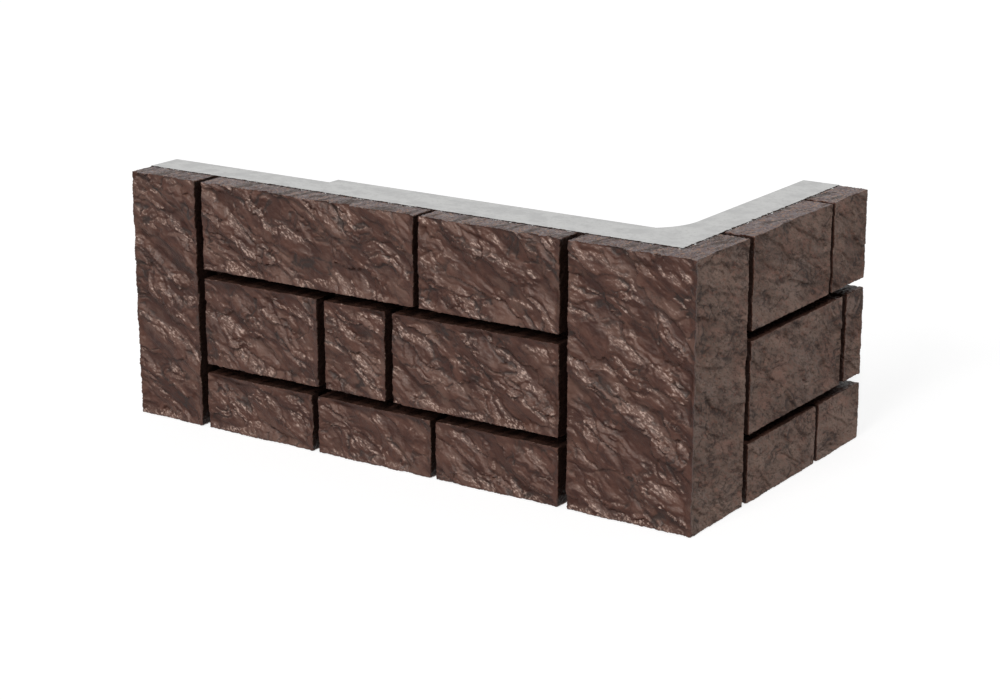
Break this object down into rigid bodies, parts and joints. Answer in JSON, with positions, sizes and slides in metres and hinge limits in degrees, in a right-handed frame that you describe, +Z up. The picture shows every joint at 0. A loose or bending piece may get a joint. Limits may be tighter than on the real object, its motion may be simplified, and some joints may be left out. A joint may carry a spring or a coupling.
{
  "type": "concrete corner wall block",
  "caption": "L-shaped concrete corner wall block with brown split-faced stones in courses on its two outer sides, a light grey backing and a coved inside corner.",
  "frame": {"origin": "middle of the plan rectangle, on the base", "axes": "+X along the front wall towards the outer corner, +Y from the front face back along the return wall, +Z up; the front wall faces -Y and the return wall faces +X"},
  "size_m": [1.1684, 0.6096, 0.4572],
  "materials": {
    "light_grey_concrete": "plain cast concrete, light grey, matte",
    "brown_split_stone": "split-faced coloured concrete, mid-brown, ledged and uneven"
  },
  "bodies": {
    "root": {"concrete_backing": "light_grey_concrete", "corner_stone": "brown_split_stone", "front_bottom_stone_1": "brown_split_stone", "front_bottom_stone_2": "brown_split_stone", "front_bottom_stone_3": "brown_split_stone", "front_middle_stone_1": "brown_split_stone", "front_middle_stone_2": "brown_split_stone", "front_middle_stone_3": "brown_split_stone", "front_top_stone_1": "brown_split_stone", "front_top_stone_2": "brown_split_stone", "left_end_stone": "brown_split_stone", "return_bottom_stone_1": "brown_split_stone", "return_bottom_stone_2": "brown_split_stone", "return_middle_stone_1": "brown_split_stone", "return_middle_stone_2": "brown_split_stone", "return_top_stone_1": "brown_split_stone", "return_top_stone_2": "brown_split_stone"}
  },
  "joints": []
}
